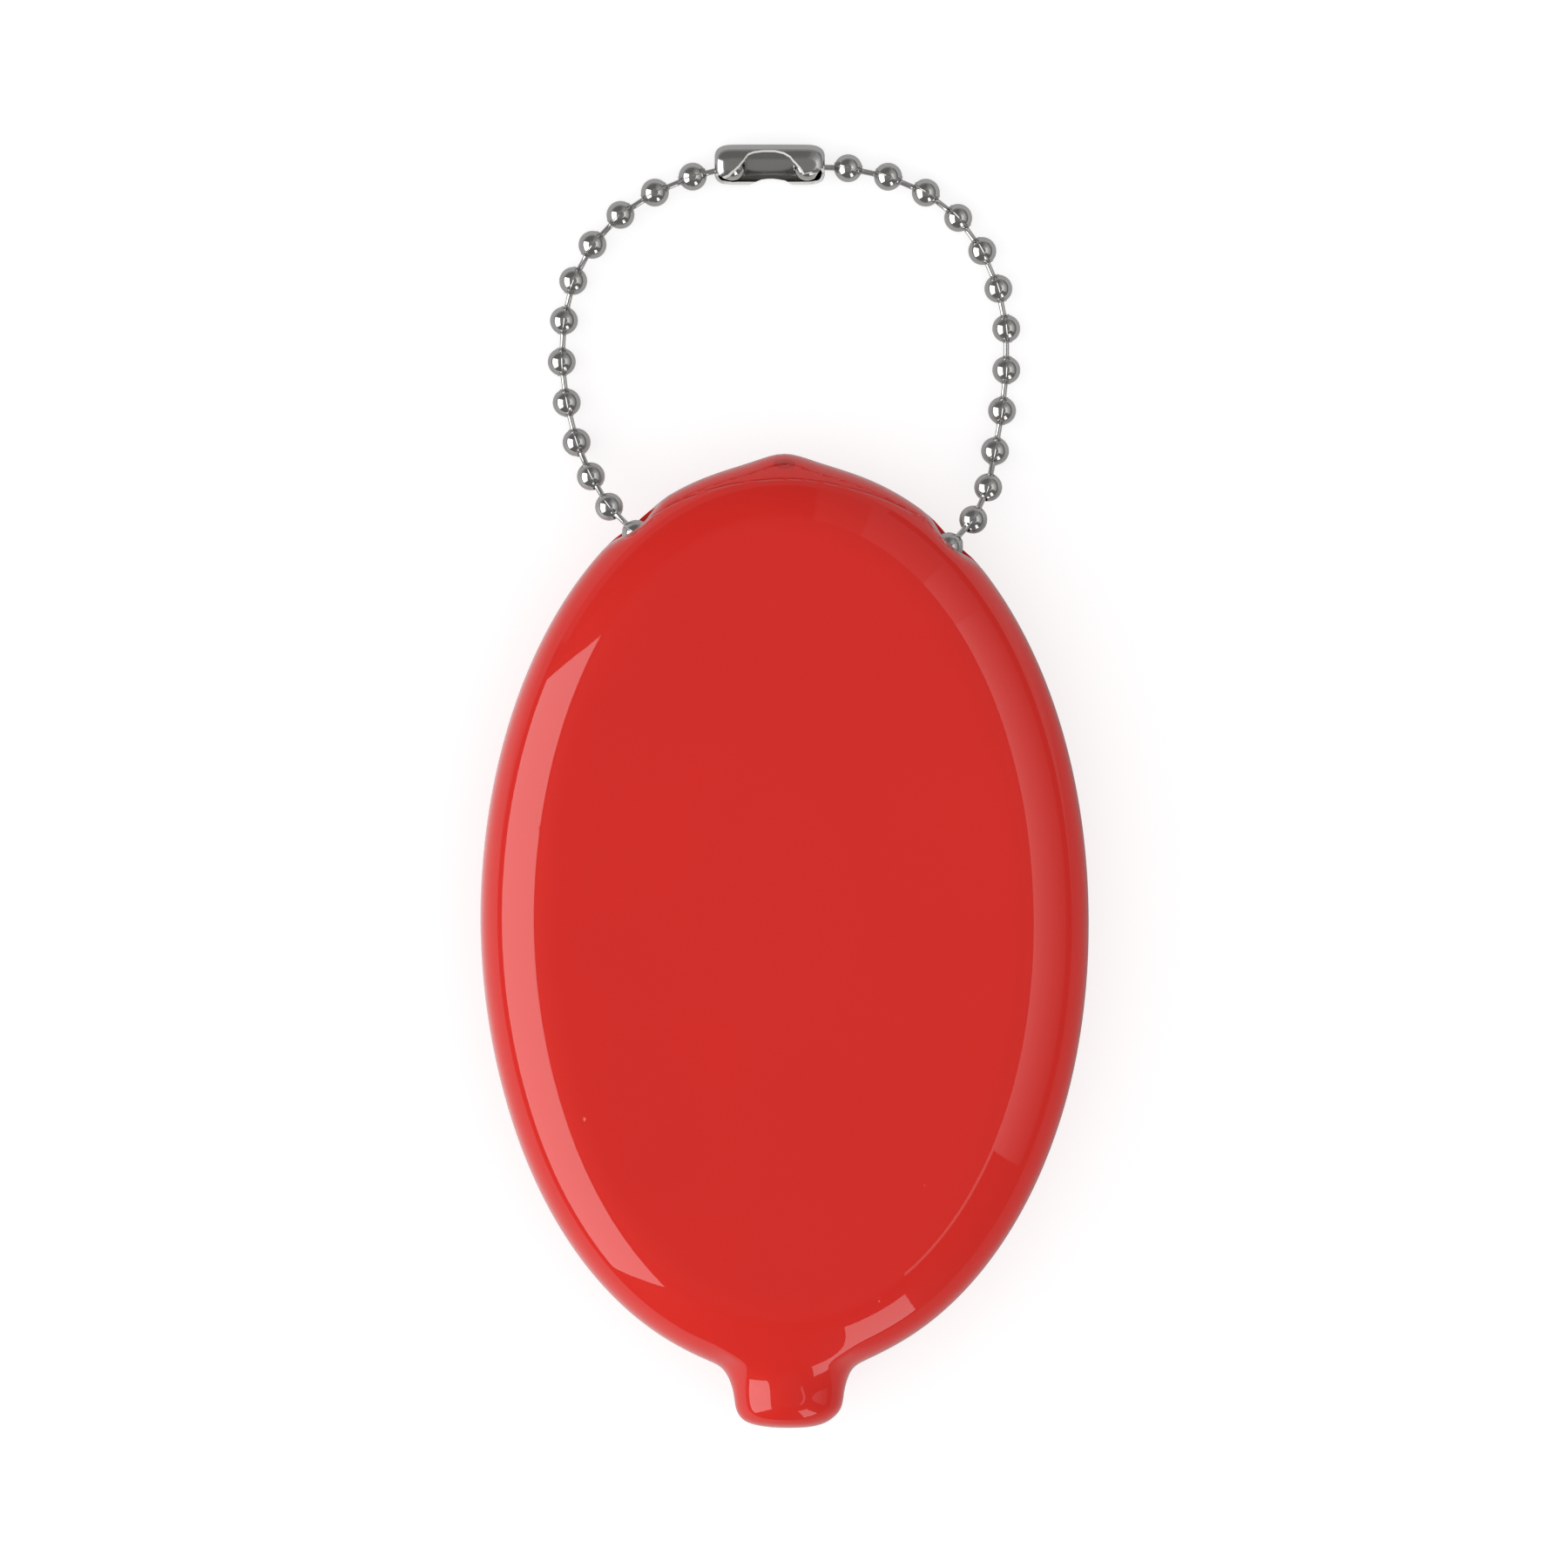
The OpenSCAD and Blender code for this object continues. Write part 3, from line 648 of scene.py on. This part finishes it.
# painted light: only reflections see this glow, lightest on the left and even past the pouch's upper end, in
# place of the soft box's light and the pouch's shadow on the paper
painted_table_glow = add(tree, "ShaderNodeMapRange", {1: -30 * MM, 2: 30 * MM, 3: 0.5, 4: 0.0}, Value=parts.outputs["X"])
by_pouch = add(tree, "ShaderNodeMapRange", {1: 25 * MM, 2: 40 * MM, 3: 1.0, 4: 0.0},
               Value=parts.outputs["Y"])
painted_table_glow = add(tree, "ShaderNodeMix", {2: 0.22}, Factor=by_pouch.outputs[0], _3=painted_table_glow.outputs[0])
painted_glow_in_gloss = add(tree, "ShaderNodeMath", {"operation": "MULTIPLY"}, _0=painted_table_glow.outputs[0],
               _1=rays.outputs["Is Glossy Ray"])
lift = add(tree, "ShaderNodeMath", {"operation": "MULTIPLY_ADD", 1: 0.68},
           _0=rays.outputs["Is Camera Ray"], _2=painted_glow_in_gloss.outputs[0])
matt = add(tree, "ShaderNodeBsdfDiffuse", {"Color": (0.48, 0.48, 0.48, 1)})
glow = add(tree, "ShaderNodeEmission", {"Color": WHITE}, Strength=lift.outputs[0])
both = add(tree, "ShaderNodeAddShader", None, _0=matt.outputs[0], _1=glow.outputs[0])
tree.links.new(both.outputs[0], out.inputs[0])
table.data.materials.append(paper)

# Light cards: pieces of a round white wall on the right and behind, which the gloss of the
# vinyl and the metal shows as bands. They light nothing matt.
WALL_REACH = 2.2


def glow_cloth(card, low, high, levels):
    """Lights a card, from the first level at height low to the last at height high."""
    card.visible_camera = False
    card.visible_diffuse = False
    cloth, tree, out = new_material(card.name + "_cloth")
    place = add(tree, "ShaderNodeTexCoord")
    parts = add(tree, "ShaderNodeSeparateXYZ", None, Vector=place.outputs["Object"])
    level = add(tree, "ShaderNodeMapRange", {1: low, 2: high, 3: levels[0], 4: levels[1]},
                Value=parts.outputs["Z"])
    glow = add(tree, "ShaderNodeEmission", {"Color": WHITE}, Strength=level.outputs[0])
    tree.links.new(glow.outputs[0], out.inputs[0])
    card.data.materials.append(cloth)


def light_card(name, azimuths, elevations, levels):
    """A piece of a round wall about the object, between two azimuths and two elevations."""
    bpy.ops.object.select_all(action="DESELECT")
    bpy.ops.mesh.primitive_cylinder_add(vertices=360, radius=WALL_REACH, depth=1, end_fill_type="NOTHING")
    card = bpy.context.object
    card.name = name
    first, last = azimuths
    bpy.ops.object.mode_set(mode="EDIT")
    pick(card, "FACE", lambda m, face: (math.degrees(math.atan2(m.y, m.x)) - first) % 360 > last - first)
    bpy.ops.mesh.delete(type="FACE")
    bpy.ops.object.mode_set(mode="OBJECT")
    low, high = (WALL_REACH * math.tan(math.radians(e)) for e in elevations)
    for v in card.data.vertices:
        v.co.z = high if v.co.z > 0 else low
    glow_cloth(card, low, high, levels)
    return card


light_card("right_wall", (-25, 34), (12, 60), (0.35, 1.5))
light_card("right_wall_bend", (34, 44), (12, 60), (0.38, 1.05))
light_card("right_wall_far", (44, 64), (12, 60), (0.4, 0.6))
light_card("right_wall_end", (64, 80), (12, 60), (0.3, 0.4))
light_card("far_table_edge", (60, 152), (0.3, 13), (0.4, 0.4))
light_card("right_wall_strip", (-52, -25), (57, 60), (1.4, 1.4))
light_card("right_wall_corner", (-72, -54), (5, 38), (2.4, 2.4))

# a low fill from the left, which only matt surfaces take
fill = light_card("left_low_fill", (150, 215), (2, 35), (2.2, 2.2))
fill.visible_diffuse = True
fill.visible_glossy = False

# Soft box: a large lamp behind white cloth, on a stand on the left. The gloss shows it as the
# bright band along the left rim. Its place, sides and tilt go with its reach, in metres.
BOX_REACH, BOX_LEVEL = 2.184, 3.3
BOX_PLACE, BOX_LENGTH, BOX_WIDTH, BOX_TILT = (-1, -0.286, 0.756), 1.571, 1.149, 109
bpy.ops.object.select_all(action="DESELECT")
bpy.ops.mesh.primitive_plane_add(
    size=1, location=[share * BOX_REACH for share in BOX_PLACE],
    rotation=(math.radians(BOX_TILT), 0, math.radians(90)))
box = bpy.context.object
box.name = "left_soft_box"
box.scale = (BOX_LENGTH * BOX_REACH, BOX_WIDTH * BOX_REACH, 1)
glow_cloth(box, 0, 1, (BOX_LEVEL, BOX_LEVEL))

# Room: the dim walls of the studio and its ceiling, which is a little lighter. Only
# reflections see them.
ROOM_REACH = 5
bpy.ops.object.select_all(action="DESELECT")
bpy.ops.mesh.primitive_uv_sphere_add(segments=48, ring_count=24, radius=ROOM_REACH)
room = bpy.context.object
room.name = "studio_room"
room.visible_camera = False
room.visible_diffuse = False
room.visible_shadow = False
dusk, tree, out = new_material("dim_room")
place = add(tree, "ShaderNodeTexCoord")
parts = add(tree, "ShaderNodeSeparateXYZ", None, Vector=place.outputs["Object"])
level = add(tree, "ShaderNodeMapRange", {1: 4.0, 2: 4.4, 3: 0.2, 4: 0.3}, Value=parts.outputs["Z"])
glow = add(tree, "ShaderNodeEmission", {"Color": WHITE}, Strength=level.outputs[0])
tree.links.new(glow.outputs[0], out.inputs[0])
room.data.materials.append(dusk)

# Daylight: soft light on everything matt, stronger from the neck's side than from the
# chain's, and white for the camera past the table's edge
world = bpy.context.scene.world or bpy.data.worlds.new("studio")
bpy.context.scene.world = world
world.use_nodes = True
tree = world.node_tree
tree.nodes.clear()
rays = add(tree, "ShaderNodeLightPath")
place = add(tree, "ShaderNodeTexCoord")
parts = add(tree, "ShaderNodeSeparateXYZ", None, Vector=place.outputs["Generated"])
level = add(tree, "ShaderNodeMapRange", {1: -1.0, 2: 1.0, 3: 1.04, 4: 0.5}, Value=parts.outputs["Y"])
level = add(tree, "ShaderNodeMix", {3: 1.0}, Factor=rays.outputs["Is Camera Ray"], _2=level.outputs[0])
sky = add(tree, "ShaderNodeBackground", {"Color": WHITE}, Strength=level.outputs[0])
out = add(tree, "ShaderNodeOutputWorld")
tree.links.new(sky.outputs[0], out.inputs[0])

# Camera: straight down from 1.2 m above the rim's middle, so that nearly nothing leans
# outwards, with the photograph's frame about the object
FRAME_WIDTH, FRAME_X, FRAME_Y, CAMERA_HEIGHT = 133.33, -0.04, 11.59, 1200
camera = bpy.data.objects.new("camera", bpy.data.cameras.new("camera"))
bpy.context.scene.collection.objects.link(camera)
camera.location = (FRAME_X * MM, FRAME_Y * MM, (CAMERA_HEIGHT + MID_Z) * MM)
camera.data.lens = camera.data.sensor_width * CAMERA_HEIGHT / FRAME_WIDTH
camera.data.clip_start, camera.data.clip_end = 0.01, 20
bpy.context.scene.camera = camera
bpy.context.scene.view_settings.view_transform = "Standard"
